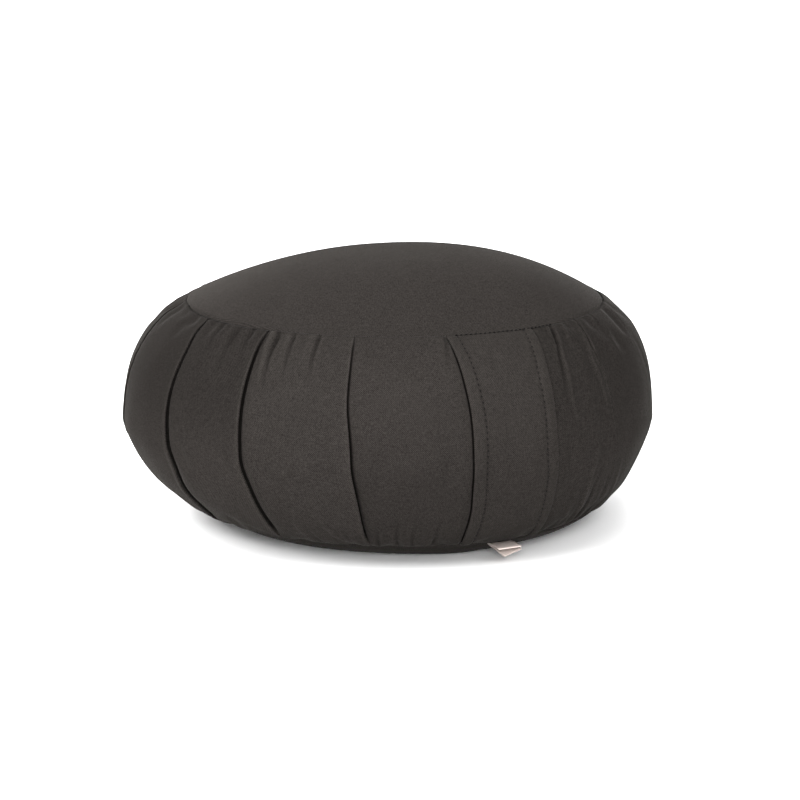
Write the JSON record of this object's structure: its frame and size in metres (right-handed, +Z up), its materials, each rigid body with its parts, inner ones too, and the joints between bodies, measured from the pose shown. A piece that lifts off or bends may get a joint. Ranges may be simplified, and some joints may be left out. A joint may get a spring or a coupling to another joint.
{
  "type": "zafu meditation cushion",
  "caption": "Round filled floor cushion with a crowned top panel, knife-pleated side band, hemmed closure panel over the side and a small bare ribbon tab in the bottom seam.",
  "frame": {"origin": "on the floor plane under the middle of the cushion's bounding box", "axes": "+Z up; -Y is the front that the picture faces; +X is to its right, on the side of the closure panel and the ribbon tab"},
  "size_m": [0.3285, 0.3285, 0.1647],
  "materials": {
    "cloth": "matt charcoal cotton twill",
    "ribbon": "woven beige ribbon, bare"
  },
  "bodies": {
    "root": {"cushion_body": "cloth", "top_panel": "cloth", "bottom_panel": "cloth", "closure_flap": "cloth", "label": "ribbon"}
  },
  "joints": []
}
